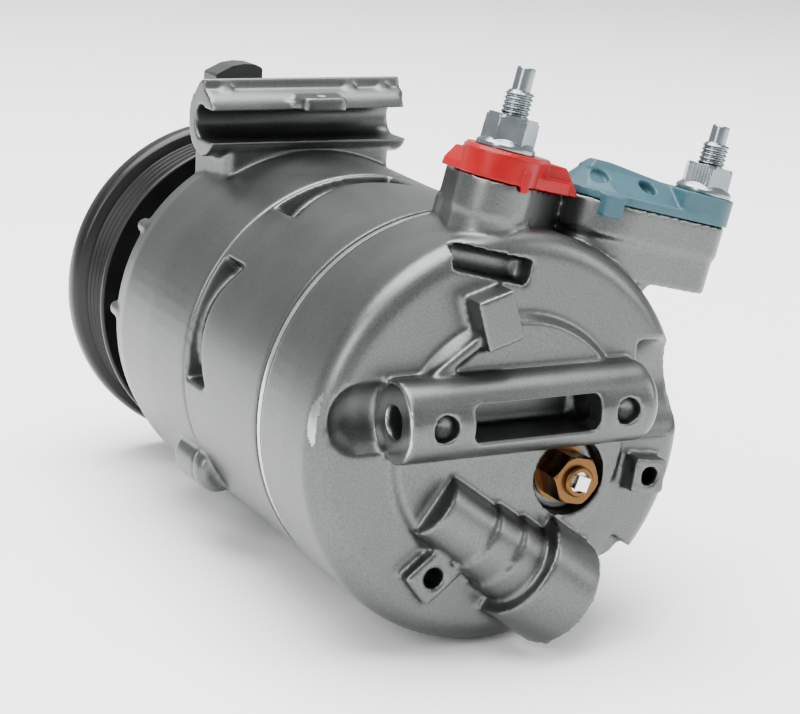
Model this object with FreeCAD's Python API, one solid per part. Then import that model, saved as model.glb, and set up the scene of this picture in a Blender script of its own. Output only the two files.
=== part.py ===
import FreeCAD, Part
import math
import os

os.makedirs("parts", exist_ok=True)

# Automotive air-conditioning compressor: single-ended swash plate pump with
# variable stroke, belt pulley with magnetic clutch, two pipe ports on top of
# the rear head.  Millimetres.  The model is laid out round the shaft, with
# the shaft axis along Y through x = z = 0, the pulley at -Y and the face of
# the cylinder casing at y = 0.  On export everything is shifted so that the
# origin is on the axis of the rear mounting bore, in the middle of its wall
# at the machined end.

# ---- casings ---------------------------------------------------------------
BODY_R = 58.2            # outside of the cylinder casing
FRONT_RIM_R = 57.6       # front edge of the front housing
FRONT_MID_R = 59.4       # widest ring of the front housing
FRONT_Y = -122.0         # front face of the front housing
FRONT_WALL_Y = -113.5    # inside of its front wall
SEAM_Y = -56.5           # joint of front housing and cylinder casing
BLOCK_END_Y = -0.4       # rear face of the cylinder casing
CRANKCASE_R = 45.0       # inside of the front housing
SHOULDER_R = 46.0        # turned shoulder that carries the clutch coil
SHOULDER_Y = -136.0
NOSE_R = 17.5            # nose that carries the pulley bearing
NOSE_Y = -171.0
SHAFT_R = 10.0
SEAL_SEAT_R = 14.0

# ---- cylinders -------------------------------------------------------------
CYLINDERS = 6
FIRST_CYLINDER_DEG = 18.0
CYLINDER_PITCH_R = 31.0
BORE_R = 13.5
BORE_CLEARANCE = 0.03
BOLT_PITCH_R = 49.5
BOLT_R = 2.95
BOLT_HOLE_R = 3.3
BOLT_SEAT_Y = -115.5
BOLT_TIP_Y = 24.0

# ---- valve plate pack ------------------------------------------------------
GASKET_T = 0.8
PLATE_T = 2.8
REAR_GASKET_T = 0.4
PACK_Y = BLOCK_END_Y + GASKET_T
HEAD_Y = PACK_Y + PLATE_T + REAR_GASKET_T

# ---- rear head -------------------------------------------------------------
HEAD_R = 58.8
HEAD_FACE_Y = 40.0
PLATEAU_R = 36.0
PLATEAU_Y = 43.5
DISCHARGE_ROOM_R = 25.5
SUCTION_ROOM_R = (28.5, 44.5)
ROOM_END_Y = 26.0

# ---- rear mounting bar -----------------------------------------------------
BAR_Y = 45.0
BAR_Z = 11.2
BAR_R = 11.5
BAR_HALF = 38.5
MOUNT_BORE_R = 4.5
MOUNT_X = 29.0           # middle of the bore's wall at the machined end
SLOT_HALF = 19.3
SLOT_HEIGHT = 10.4

# ---- front mounting channel ------------------------------------------------
CHANNEL_Y = -102.0
CHANNEL_Z = 68.5
CHANNEL_R = 5.5
CHANNEL_X = (-33.0, 36.5)

# ---- ports -----------------------------------------------------------------
PORT_TILT_DEG = 13.5
DISCHARGE_TOP = (-1.4, 26.0, 79.2)    # stud axis at the top of the cap
SUCTION_TOP = (-73.8, 18.0, 63.0)
STUD_R = 4.0
STUD_TIP_R = 2.65
PORT_BORE_R = 8.0
NUT_ACROSS_FLATS = 13.0
NUT_FLANGE_R = 8.3

# ---- control valve housing on the rear head --------------------------------
VALVE_START = (23.6, 42.0, -14.3)
VALVE_SLOPE_DEG = 36.3

# ---- clutch ----------------------------------------------------------------
PULLEY_FRONT_Y = -172.0
PULLEY_REAR_Y = -141.5
PULLEY_R = 58.0
RIB_TIP_R = 54.4
RIB_ROOT_R = 51.4
RIB_PITCH = 3.56
RIBS = 5
AIR_GAP = 0.5
SHAFT_STEP_Y = -176.5    # step of the shaft that the hub is pulled against

# ---- swash drive -----------------------------------------------------------
SWASH_Y = -70.0
SWASH_R = 38.5
SWASH_T = 7.0
SHOE_R = 8.0
SHOE_GAP = 0.2
HINGE_DEG = 108.0        # side of the shaft where the swash plate is hinged
LUG_FACE_Y = -104.5
GUIDE_X = 9.0
GUIDE_PIN_R = 2.5
GUIDE_BALL_R = 4.0
GUIDE_BALL = (15.0, -93.0)        # height above the shaft, and y
GUIDE_BALL_TILTED = (21.5, -96.3)

ORIGIN = FreeCAD.Vector(MOUNT_X, BAR_Y, BAR_Z)
V = FreeCAD.Vector


# ---- construction helpers --------------------------------------------------
def cyl(r, y0, y1, x=0.0, z=0.0):
    """Cylinder along Y between two stations."""
    return Part.makeCylinder(r, y1 - y0, V(x, y0, z), V(0, 1, 0))


def rod(start, end, r):
    """Cylinder between two points."""
    a, b = V(*start), V(*end)
    return Part.makeCylinder(r, (b - a).Length, a, b - a)


def box(x, y, z):
    """Box from three (low, high) pairs."""
    return Part.makeBox(x[1] - x[0], y[1] - y[0], z[1] - z[0], V(x[0], y[0], z[0]))


def turned(points):
    """Solid of revolution about the shaft axis from (radius, y) points."""
    wire = Part.makePolygon([V(r, y, 0) for r, y in points + points[:1]])
    return Part.Face(wire).revolve(V(0, 0, 0), V(0, 1, 0), 360)


def prism(points, x0, x1):
    """Prism along X from (y, z) points."""
    wire = Part.makePolygon([V(x0, y, z) for y, z in points + points[:1]])
    return Part.Face(wire).extrude(V(x1 - x0, 0, 0))


def plate(points, y0, y1):
    """Prism along Y from (x, z) points."""
    wire = Part.makePolygon([V(x, y0, z) for x, z in points + points[:1]])
    return Part.Face(wire).extrude(V(0, y1 - y0, 0))


def hexagon(across_flats, y0, y1):
    r = across_flats / math.sqrt(3)
    corners = [(r * math.cos(math.radians(60 * k)), r * math.sin(math.radians(60 * k)))
               for k in range(6)]
    return plate(corners, y0, y1)


def fuse(*shapes):
    return shapes[0].multiFuse(list(shapes[1:])) if len(shapes) > 1 else shapes[0]


def cut(shape, *tools):
    return shape.cut(list(tools))


def spun(shape, degrees):
    """Copy turned about the shaft axis; positive turns +X towards +Z."""
    out = shape.copy()
    out.rotate(V(0, 0, 0), V(0, 1, 0), -degrees)
    return out


def moved(shape, x, y, z):
    out = shape.copy()
    out.translate(V(x, y, z))
    return out


def polar(radius, degrees):
    a = math.radians(degrees)
    return radius * math.cos(a), radius * math.sin(a)


def round_edges(shape, radius, choose):
    """Fillet the chosen edges in one go, or else one after another."""
    edges = [e for e in shape.Edges if choose(e)]
    if not edges:
        return shape
    try:
        out = shape.makeFillet(radius, edges)
        if out.isValid() and out.Volume > 0:
            return out
    except Exception:
        pass
    for centre in [e.CenterOfMass for e in edges]:
        near = [e for e in shape.Edges if (e.CenterOfMass - centre).Length < 1e-3]
        try:
            out = shape.makeFillet(radius, near)
            if out.isValid() and out.Volume > 0:
                shape = out
        except Exception:
            continue
    return shape


def around(count, first, radius):
    """(x, z, degrees) of places spaced evenly round the shaft."""
    step = 360.0 / count
    return [polar(radius, first + k * step) + (first + k * step,) for k in range(count)]


CYLINDER_PLACES = around(CYLINDERS, FIRST_CYLINDER_DEG, CYLINDER_PITCH_R)
BOLT_PLACES = around(CYLINDERS, FIRST_CYLINDER_DEG + 30.0, BOLT_PITCH_R)

TILT = math.radians(PORT_TILT_DEG)
PORT_UP = V(-math.sin(TILT), 0, math.cos(TILT))
PORT_LEFT = V(math.cos(TILT), 0, math.sin(TILT))


def at_port(shape, top):
    """Place a shape made round +Z, with z = 0 at the top of the cap."""
    out = shape.copy()
    out.rotate(V(0, 0, 0), V(0, 1, 0), -PORT_TILT_DEG)
    out.translate(V(*top))
    return out


def zcyl(r, z0, z1, x=0.0, y=0.0):
    return Part.makeCylinder(r, z1 - z0, V(x, y, z0), V(0, 0, 1))


def zprism(points, z0, z1):
    wire = Part.makePolygon([V(x, y, z0) for x, y in points + points[:1]])
    return Part.Face(wire).extrude(V(0, 0, z1 - z0))


def oblong(a, ra, b, rb, z0, z1):
    """Outline that wraps two circles, extruded along Z."""
    ax, ay = a
    bx, by = b
    d = math.hypot(bx - ax, by - ay)
    heading = math.atan2(by - ay, bx - ax)
    turn = math.acos((ra - rb) / d)
    corners = []
    for side in (1, -1):
        c, s = math.cos(heading + side * turn), math.sin(heading + side * turn)
        pair = [(ax + ra * c, ay + ra * s), (bx + rb * c, by + rb * s)]
        corners += pair if side == 1 else pair[::-1]
    return fuse(zcyl(ra, z0, z1, ax, ay), zcyl(rb, z0, z1, bx, by),
                zprism(corners, z0, z1)).removeSplitter()


# ---- front housing: die-cast, with shoulder, nose and mounting channel -----
def front_housing():
    shell = turned([
        (0, NOSE_Y), (NOSE_R - 1.0, NOSE_Y), (NOSE_R, NOSE_Y + 1.0),
        (NOSE_R, SHOULDER_Y), (SHOULDER_R - 1.5, SHOULDER_Y),
        (SHOULDER_R, SHOULDER_Y + 1.5), (SHOULDER_R, FRONT_Y),
        (FRONT_RIM_R - 1.5, FRONT_Y), (FRONT_RIM_R, FRONT_Y + 1.5),
        (FRONT_MID_R, FRONT_Y + 12.0), (FRONT_MID_R - 0.2, -86.0),
        (BODY_R + 0.1, SEAM_Y - 0.6), (BODY_R - 0.4, SEAM_Y), (0, SEAM_Y)])
    x0, x1 = CHANNEL_X
    saddle = fuse(
        rod((x0, CHANNEL_Y, CHANNEL_Z), (x1, CHANNEL_Y, CHANNEL_Z), 11.0),
        prism([(-95.0, 74.0), (-99.5, 77.6), (-99.8, 82.5), (-102.8, 82.3),
               (-108.5, 77.0), (-106.0, 60.0), (-102.0, 58.6), (-95.4, 61.6),
               (-95.0, 63.0), (-101.0, 68.5)], x0, x1))
    web = zprism([(-28.0, -120.0), (-28.0, -94.6), (29.9, -94.6), (32.3, -120.0)], 30.0, 61.0)
    web = round_edges(web, 3.0, lambda e: e.BoundBox.ZLength > 20)
    lip_trim = box((x0 - 1, x0 + 1.4), (-96.5, -90.0), (72.0, 84.0))
    gussets = [prism([(-100.0, 81.6), (-95.1, 75.9), (-95.1, 74.0), (-100.0, 77.2)],
                     x - 1.5, x + 1.5)
               for x in (29.3, -14.0, -26.0)]
    gussets.append(zprism([(13.0, -97.0), (6.0, -88.0), (6.0, -98.0)], 73.6, 76.2))
    tab = box((-8.0, 7.0), (-104.0, -86.5), (73.2, 77.6))
    tab = round_edges(tab, 2.0, lambda e: e.BoundBox.ZLength > 3
                      and e.CenterOfMass.y > -88)
    lug_x, lug_z = polar(57.0, -33.5)
    lug = cyl(7.4, -73.5, SEAM_Y, lug_x, lug_z)
    lug = round_edges(lug, 3.0, lambda e: abs(e.CenterOfMass.y + 73.5) < 0.1)
    knobs = [cyl(2.6, -124.0, -116.0, *polar(56.4, a)) for a in (4.0, 33.5)]
    body = fuse(shell, cut(saddle, lip_trim), web, tab, lug, *(gussets + knobs))

    trough = fuse(
        rod((x0 - 1, CHANNEL_Y, CHANNEL_Z), (x1 + 1, CHANNEL_Y, CHANNEL_Z), CHANNEL_R),
        box((x0 - 1, x1 + 1), (CHANNEL_Y, -85.0),
            (CHANNEL_Z - CHANNEL_R, CHANNEL_Z + CHANNEL_R - 0.8)))
    trough = cut(trough, box((-9.0, 8.0), (-97.0, -85.0), (73.0, 78.0)))
    crankcase = cyl(CRANKCASE_R, FRONT_WALL_Y, SEAM_Y + 1)
    tools = [trough, crankcase,
             cyl(SEAL_SEAT_R, -125.0, FRONT_WALL_Y + 1),
             cyl(13.0, -150.0, -124.0),
             cyl(11.5, NOSE_Y - 1, -149.0),
             turned([(16.4, -169.4), (NOSE_R + 1, -169.4), (NOSE_R + 1, -168.2),
                     (16.4, -168.2)]),
             turned([(12.0, -148.9), (14.0, -148.9), (14.0, -147.7), (12.0, -147.7)])]
    tools.append(zcyl(1.9, 71.0, 79.0, -0.8, -92.0))
    for x, z, _ in BOLT_PLACES:
        tools += [cyl(BOLT_HOLE_R, BOLT_SEAT_Y - 1, SEAM_Y + 1, x, z),
                  cyl(5.7, SHOULDER_Y - 1, BOLT_SEAT_Y, x, z)]
    return cut(body, *tools)


# ---- cylinder casing: the block with its six bores -------------------------
def pocket(centre_deg):
    """Crescent-shaped core recess over one cylinder, deep at both ends."""
    ring = cut(cyl(70.0, -54.5, -30.0), cyl(46.0, -55.0, -29.0))
    wedge = plate([(0, 0), polar(90.0, -19.8), (95.0, 0.0), polar(90.0, 19.8)],
                  -56.0, -28.0)
    barrel = turned([(0, -56.0), (22.6, -56.0), (36.0, -27.0), (0, -27.0)])
    space = cut(ring.common(wedge), moved(barrel, CYLINDER_PITCH_R, 0, 0))
    return spun(space, centre_deg)


def cylinder_casing():
    block = turned([(0, SEAM_Y), (BODY_R - 0.4, SEAM_Y), (BODY_R + 0.1, SEAM_Y + 0.6),
                    (BODY_R, -50.0), (BODY_R, BLOCK_END_Y - 0.6),
                    (BODY_R - 0.5, BLOCK_END_Y), (0, BLOCK_END_Y)])
    lug_x, lug_z = polar(57.0, -33.5)
    lug = cyl(7.4, SEAM_Y, -50.0, lug_x, lug_z)
    lug = round_edges(lug, 3.0, lambda e: abs(e.CenterOfMass.y + 50.0) < 0.1)
    block = fuse(block, lug)
    tools = [pocket(FIRST_CYLINDER_DEG + 60.0 * k) for k in range(4)]
    tools += [cyl(BORE_R, SEAM_Y - 1, BLOCK_END_Y + 1, x, z) for x, z, _ in CYLINDER_PLACES]
    tools += [cyl(BOLT_HOLE_R, SEAM_Y - 1, BLOCK_END_Y + 1, x, z) for x, z, _ in BOLT_PLACES]
    tools += [cyl(SEAL_SEAT_R, SEAM_Y - 1, -38.0), cyl(12.5, -38.5, -34.0),
              cyl(9.0, -34.5, -18.0)]
    tools += [turned([(53.6, SEAM_Y - 1), (56.0, SEAM_Y - 1), (56.0, SEAM_Y + 1.4),
                      (53.6, SEAM_Y + 1.4)])]
    return cut(block, *tools)


def seam_o_ring():
    return turned([(53.7, SEAM_Y), (55.9, SEAM_Y), (55.9, SEAM_Y + 1.35),
                   (53.7, SEAM_Y + 1.35)])


# ---- valve plate pack ------------------------------------------------------
def bolt_holes(y0, y1, r=BOLT_HOLE_R):
    return [cyl(r, y0, y1, x, z) for x, z, _ in BOLT_PLACES]


def front_gasket():
    ring = cut(cyl(BODY_R + 0.15, BLOCK_END_Y, PACK_Y), cyl(46.4, -1, 1))
    return cut(ring, *bolt_holes(-1, 1))


def reed_cut(degrees, y0, y1):
    """U-shaped slit that frees one reed tongue over a cylinder."""
    outer = box((CYLINDER_PITCH_R - 11.0, CYLINDER_PITCH_R + 5.0), (y0, y1), (-5.0, 5.0))
    outer = fuse(outer, cyl(5.0, y0, y1, CYLINDER_PITCH_R + 5.0, 0))
    inner = box((CYLINDER_PITCH_R - 11.5, CYLINDER_PITCH_R + 5.0), (y0, y1), (-4.0, 4.0))
    inner = fuse(inner, cyl(4.0, y0, y1, CYLINDER_PITCH_R + 5.0, 0))
    return spun(cut(outer, inner), degrees)


def suction_reed_plate():
    disc = cyl(46.0, BLOCK_END_Y, PACK_Y)
    slits = [reed_cut(a, -1, 1) for _, _, a in CYLINDER_PLACES]
    return cut(disc, *(slits + bolt_holes(-1, 1)))


def valve_plate():
    disc = cyl(BODY_R + 0.05, PACK_Y, PACK_Y + PLATE_T)
    tools = bolt_holes(PACK_Y - 1, PACK_Y + PLATE_T + 1)
    for _, _, a in CYLINDER_PLACES:
        tools.append(cyl(3.0, PACK_Y - 1, PACK_Y + PLATE_T + 1, *polar(36.0, a)))
        tools.append(cyl(2.6, PACK_Y - 1, PACK_Y + PLATE_T + 1, *polar(21.5, a)))
    return cut(disc, *tools)


def discharge_reed_plate():
    """Star of six thin tongues that close the discharge holes."""
    star = [cyl(14.0, HEAD_Y - REAR_GASKET_T, HEAD_Y)]
    for _, _, a in CYLINDER_PLACES:
        tongue = fuse(box((10.0, 21.5), (HEAD_Y - REAR_GASKET_T, HEAD_Y), (-3.4, 3.4)),
                      cyl(3.4, HEAD_Y - REAR_GASKET_T, HEAD_Y, 21.5, 0))
        star.append(spun(tongue, a))
    return fuse(*star).removeSplitter()


def rear_gasket():
    y0, y1 = HEAD_Y - REAR_GASKET_T, HEAD_Y
    outer = cut(cyl(BODY_R + 0.15, y0, y1), cyl(44.5, y0 - 1, y1 + 1))
    inner = cut(cyl(28.5, y0, y1), cyl(25.4, y0 - 1, y1 + 1))
    spokes = [spun(box((28.0, 45.0), (y0, y1), (-1.2, 1.2)), a + 30.0)
              for _, _, a in CYLINDER_PLACES[:3]]
    return cut(fuse(outer, inner, *spokes).removeSplitter(), *bolt_holes(y0 - 1, y1 + 1))


def through_bolts():
    bolts = []
    for x, z, _ in BOLT_PLACES:
        head = cut(cyl(5.0, -6.0, 0.0), hexagon(5.0, -7.0, -3.0))
        bolt = fuse(head, cyl(BOLT_R, 0.0, BOLT_TIP_Y - BOLT_SEAT_Y))
        bolts.append(moved(bolt, x, BOLT_SEAT_Y, z))
    return Part.makeCompound(bolts)


# ---- rear head: chambers, mounting bar, ports, control valve housing -------
def valve_point(along, up=0.0):
    """Point on the control valve axis, and its offset towards +Y."""
    a = math.radians(VALVE_SLOPE_DEG)
    x, y, z = VALVE_START
    return (x - along * math.cos(a), y + up, z - along * math.sin(a))


def valve_side(along, out, degrees):
    """Point beside the control valve axis; 90 degrees is towards +Y."""
    a, b = math.radians(VALVE_SLOPE_DEG), math.radians(degrees)
    x, y, z = valve_point(along)
    return (x + out * math.cos(b) * math.sin(a), y + out * math.sin(b),
            z - out * math.cos(b) * math.cos(a))


def valve_cyl(s0, s1, r):
    return rod(valve_point(s0), valve_point(s1), r)


DISCHARGE_PORT = (-11.9, -16.0)    # port centre from the stud, in the port plane
SUCTION_PORT = (32.0, -1.0)
DISCHARGE_PLATE = (-18.0, -8.2)
SUCTION_PLATE = (-17.5, -8.0)


def port_blocks():
    """Both flanged towers, square to the tilted port plane."""
    dx, dy = DISCHARGE_PORT
    plate_d = oblong((dx, dy), 16.6, (0, 0), 10.8, *DISCHARGE_PLATE)
    column = oblong((dx + 3.0, dy), 14.0, (0, 0), 10.3, -25.5, -17.0)
    trunk = zcyl(13.0, -46.0, -17.0, dx + 5.0, dy)
    boss = zcyl(10.3, -26.5, -17.0)
    neck = zcyl(8.5, -40.0, -24.0, 0.0, -4.0)
    discharge = fuse(plate_d, column, trunk, boss, neck)

    sx, sy = SUCTION_PORT
    plate_s = oblong((sx, sy), 15.2, (0, 0), 8.8, *SUCTION_PLATE)
    under = oblong((sx, sy), 14.0, (0, 0), 8.0, -28.5, -17.0)
    root = plate([(sx - 18.0, -22.0), (sx + 10.0, -22.0), (sx + 10.0, -44.0),
                  (sx - 7.0, -44.0), (sx - 16.0, -27.0)], sy - 10.0, sy + 11.0)
    suction = fuse(plate_s, under, root)
    return [at_port(discharge, DISCHARGE_TOP), at_port(suction, SUCTION_TOP)]


def turned_box(cx, cz, half_x, half_z, degrees, y0, y1):
    """Upright square boss on the rear face, turned in the plane."""
    b = box((-half_x, half_x), (y0, y1), (-half_z, half_z))
    return moved(spun(b, degrees), cx, 0, cz)


def rear_head():
    drum = turned([(0, HEAD_Y), (HEAD_R - 0.5, HEAD_Y), (HEAD_R, HEAD_Y + 0.6),
                   (HEAD_R + 0.3, 20.0), (HEAD_R + 0.3, HEAD_FACE_Y), (0, HEAD_FACE_Y)])
    drum = round_edges(drum, 7.2, lambda e: abs(e.CenterOfMass.y - HEAD_FACE_Y) < 0.1)
    drum = cut(drum,
               plate([(-37.0, -30.8), (-45.5, -36.8), (-50, -45), (-35, -45), (-32.5, -34.5)],
                     37.6, 50.0),
               plate([(-41.2, -34.1), (-37.2, -37.4), (-30, -40), (-30, -60), (-60, -60),
                      (-60, -46)], 24.0, 50.0))
    plateau = turned([(0, 39.0), (PLATEAU_R + 1.6, 39.0), (PLATEAU_R + 1.2, HEAD_FACE_Y),
                      (PLATEAU_R - 0.8, PLATEAU_Y), (0, PLATEAU_Y)])
    bar = rod((-BAR_HALF - 0.8, BAR_Y, BAR_Z), (BAR_HALF, BAR_Y, BAR_Z), BAR_R)
    bar = round_edges(bar, 4.5, lambda e: abs(e.CenterOfMass.x + BAR_HALF + 0.8) < 0.1)
    block = turned_box(9.4, 37.3, 5.5, 7.2, -17.0, 36.0, 48.8)
    rib = turned_box(19.5, 27.0, 8.5, 1.6, -35.0, 40.0, PLATEAU_Y + 2.2)
    boss_r = turned_box(-43.5, -12.0, 5.4, 5.0, 8.0, 36.0, 46.5)
    boss_l = turned_box(23.6, -34.6, 6.3, 5.6, -38.0, 36.0, 44.8)
    valve = [valve_cyl(-1.0, 17.0, 9.5), valve_cyl(16.0, 25.5, 10.8),
             valve_cyl(25.0, 33.0, 12.0), valve_cyl(33.5, 52.0, 16.3)]
    nub = rod(valve_side(48.0, 14.6, 30.0), valve_side(53.5, 14.6, 30.0), 1.6)
    body = fuse(drum, plateau, bar, block, rib, boss_r, boss_l, nub,
                *(valve + port_blocks()))

    suction_room = cut(cyl(SUCTION_ROOM_R[1], HEAD_Y - 1, ROOM_END_Y),
                       cyl(SUCTION_ROOM_R[0], HEAD_Y - 2, ROOM_END_Y + 1))
    tube = at_port(zcyl(8.5, -62.0, -20.0, *DISCHARGE_PORT), DISCHARGE_TOP)
    tools = [cyl(DISCHARGE_ROOM_R, HEAD_Y - 1, ROOM_END_Y), cut(suction_room, tube),
             cyl(BODY_R + 0.3, HEAD_Y - 20.0, HEAD_Y)]
    tools += [cyl(BOLT_R + 0.1, HEAD_Y - 1, BOLT_TIP_Y + 2, x, z) for x, z, _ in BOLT_PLACES]
    # mounting bore with its end faces, lightening slot and two drilled dimples
    tools += [rod((-60, BAR_Y, BAR_Z), (60, BAR_Y, BAR_Z), MOUNT_BORE_R),
              rod((BAR_HALF, BAR_Y, BAR_Z), (45.5, BAR_Y, BAR_Z), 11.2),
              Part.makeSphere(11.2, V(45.5, BAR_Y, BAR_Z)).cut(
                  box((20.0, BAR_HALF), (20.0, 70.0), (-10.0, 40.0))),
              rod((-70, BAR_Y, BAR_Z + 1.0), (-BAR_HALF - 1.8, BAR_Y, BAR_Z + 1.0), 15.2)]
    slot = box((-SLOT_HALF, SLOT_HALF), (39.5, 60.0),
               (BAR_Z - SLOT_HEIGHT / 2 + 0.6, BAR_Z + SLOT_HEIGHT / 2 + 0.6))
    slot = round_edges(slot, 2.0, lambda e: e.BoundBox.YLength > 15)
    tools.append(slot)
    for x in (-28.2, 28.2):
        tools.append(moved(turned([(0, 50.6), (3.7, 52.4), (3.7, 60.0), (0, 60.0)]),
                           x, 0, BAR_Z + 0.1))
    # tapped holes in the two square bosses
    tools += [cyl(2.65, 34.0, 50.0, -43.5, -12.0), cyl(2.9, 32.0, 50.0, 23.3, -34.8)]
    # relief valve seat
    tools += [cyl(11.0, 37.5, 60.0, -18.5, -10.3).cut(
        rod((-60, BAR_Y, BAR_Z), (60, BAR_Y, BAR_Z), BAR_R)),
        cyl(5.0, ROOM_END_Y - 2, 40.0, -18.5, -10.3)]
    # control valve bore, stepped, open at its lower end
    tools += [valve_cyl(3.0, 60.0, 6.5), valve_cyl(14.0, 60.0, 8.0),
              valve_cyl(24.0, 60.0, 9.6), valve_cyl(36.0, 60.0, 12.6),
              cut(valve_cyl(49.0, 50.2, 13.6), valve_cyl(48.0, 51.0, 12.0))]
    # corner of the drum scooped out below the discharge stud
    scoop = zprism([(-9.5, 6.0), (14.0, 6.0), (14.0, 22.0), (-9.5, 22.0)], -33.4, -26.5)
    scoop = round_edges(scoop, 3.0, lambda e: abs(e.CenterOfMass.y - 6.0) < 0.1)
    tools.append(at_port(scoop, DISCHARGE_TOP))
    # ports and stud holes
    dx, dy = DISCHARGE_PORT
    sx, sy = SUCTION_PORT
    tools += [at_port(zcyl(PORT_BORE_R, -20.0, 0.0, dx, dy), DISCHARGE_TOP),
              at_port(zcyl(4.5, -63.0, -18.0, dx, dy), DISCHARGE_TOP),
              at_port(zcyl(STUD_R, -24.0, 0.0), DISCHARGE_TOP),
              at_port(zcyl(PORT_BORE_R + 2.0, -18.0, 0.0, sx, sy), SUCTION_TOP),
              at_port(rod((sx, sy, -17.5), (sx + 12.0, sy - 3.0, -42.0), 7.0), SUCTION_TOP),
              at_port(zcyl(STUD_R, -20.0, 0.0), SUCTION_TOP)]
    return cut(body, *tools)


# ---- studs, nuts and shipping caps on the ports ----------------------------
def stud(length_up, length_down, tip, top):
    screw = fuse(zcyl(STUD_R, -length_down, length_up - tip),
                 zcyl(STUD_TIP_R, length_up - tip - 0.5, length_up))
    return at_port(screw, top)


def nut(height, turn, top):
    collar = zcyl(NUT_FLANGE_R, 0.1, 1.3)
    body = hexagon(NUT_ACROSS_FLATS, 0, height - 1.2)
    body.rotate(V(0, 0, 0), V(1, 0, 0), 90)
    body.rotate(V(0, 0, 0), V(0, 0, 1), turn)
    body.translate(V(0, 0, 1.2))
    cone = Part.makeCone(NUT_FLANGE_R, NUT_ACROSS_FLATS / 2, 1.6, V(0, 0, 1.3))
    body = body.common(Part.makeCone(8.6, 6.3, height + 3.0, V(0, 0, 0)).fuse(
        zcyl(7.4, 0, height - 0.8)))
    return at_port(cut(fuse(collar, cone, body), zcyl(STUD_R + 0.05, -1, height + 1)), top)


def discharge_cap():
    """Lobed red cap: lid, two wings, a hanging tab and a spigot in the port."""
    dx, dy = DISCHARGE_PORT
    low, high = DISCHARGE_PLATE[1] + 0.05, 0.0
    middle = (dx * 0.6, dy * 0.6)
    base = oblong((dx, dy), 13.0, (0, 0), 10.9, low, -5.0)
    lid = fuse(oblong(middle, 12.6, (0, 0), 10.9, -5.1, -0.8),
               oblong(middle, 11.9, (0, 0), 10.2, -0.9, high))
    wing = zprism([(-8.0, 7.0), (-22.0, 3.0), (-26.4, -6.0), (-20.0, -18.0), (-8.0, -14.0)],
                  low, -5.0)
    ramp = plate([(-9.0, low), (-26.0, low), (-25.6, -6.5), (-20.5, -0.8), (-9.0, -0.8)],
                 -11.0, 1.0)
    left_wing = plate([(0.0, low), (10.4, low), (10.0, -6.0), (7.4, -2.0), (0.0, -2.0)],
                      -14.0, -2.0)
    tab = box((-3.4, -1.0), (9.4, 11.8), (-9.6, -4.0))
    plug = zcyl(PORT_BORE_R - 0.3, -14.0, low + 0.5, dx, dy)
    cap = cut(fuse(base, lid, wing, ramp, left_wing, tab),
              oblong((dx, dy), 16.65, (0, 0), 10.85, -20.0, low).cut(zcyl(8.5, -21, 0, dx, dy)))
    return at_port(cut(fuse(cap, plug), zcyl(STUD_R + 0.3, -40, 5)), DISCHARGE_TOP)


def suction_cap():
    """Long blue-green cap: low roof with a sloping front and a hanging tab."""
    sx, sy = SUCTION_PORT
    low = SUCTION_PLATE[1] + 0.05
    sole = oblong((sx, sy), 15.0, (0, 0), 9.4, low, low + 2.4)
    seat = fuse(zcyl(9.4, low, 0.0), zprism([(0, -9.4), (13.0, -10.2), (13.0, 10.2),
                                            (0, 9.4)], low, 0.0))
    roof = Part.makeLoft([
        Part.makePolygon([V(x, y, low + 1.0) for x, y in
                          ((6, -11), (44, -11), (46.6, -2), (44.5, 8), (36, 13.6), (8, 10.6),
                           (6, -11))]),
        Part.makePolygon([V(x, y, -0.2) for x, y in
                          ((9, -6), (40, -6), (41, -3), (40.5, 0), (38, 1.5), (9, 1.5),
                           (9, -6))])], True)
    crest = Part.makeLoft([
        Part.makePolygon([V(x, y, -0.3) for x, y in
                          ((10, -6), (41, -6), (41, 1.2), (10, 1.2), (10, -6))]),
        Part.makePolygon([V(x, y, 2.2) for x, y in
                          ((33, -4), (39, -4), (39, -0.5), (33, -0.5), (33, -4))])], True)
    cap = fuse(sole, seat, roof, crest)
    tab = box((35.4, 41.8), (10.6, 14.4), (-12.2, -6.0))
    cap = fuse(cap, tab)
    cap = cut(cap, oblong((sx, sy), 15.25, (0, 0), 8.85, -18.0, low),
              rod((39.0, 3.0, -3.0), (39.0, 8.0, 5.6), 2.9),
              rod((22.5, 3.0, -4.0), (22.5, 8.0, 4.6), 2.9))
    plug = zcyl(PORT_BORE_R + 1.7, -12.0, low + 0.5, sx, sy)
    return at_port(cut(fuse(cap, plug), zcyl(STUD_R + 0.3, -40, 9)), SUCTION_TOP)


# ---- relief valve and control valve ----------------------------------------
RELIEF_X, RELIEF_Z = -18.5, -10.3


def relief_valve_body():
    hexa = hexagon(13.0, 38.6, 47.6).common(
        turned([(0, 38.0), (6.9, 38.0), (7.6, 39.0), (7.6, 46.8), (6.6, 47.7), (0, 47.7)]))
    body = fuse(hexa, cyl(8.4, 37.5, 38.7), cyl(4.9, ROOM_END_Y - 1.0, 38.0),
                turned([(0, 47.0), (4.4, 47.0), (4.4, 48.8), (3.9, 49.3), (0, 49.3)]))
    body = cut(body, cyl(3.0, 34.0, 60.0), cyl(1.6, 20.0, 35.0))
    return moved(spun(body, 12.0), RELIEF_X, 0, RELIEF_Z)


def relief_valve_core():
    square = box((-2.0, 2.0), (47.0, 50.6), (-2.0, 2.0))
    core = fuse(cyl(2.95, 34.5, 48.3), spun(square, 20.0))
    return moved(core, RELIEF_X, 0, RELIEF_Z)


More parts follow.
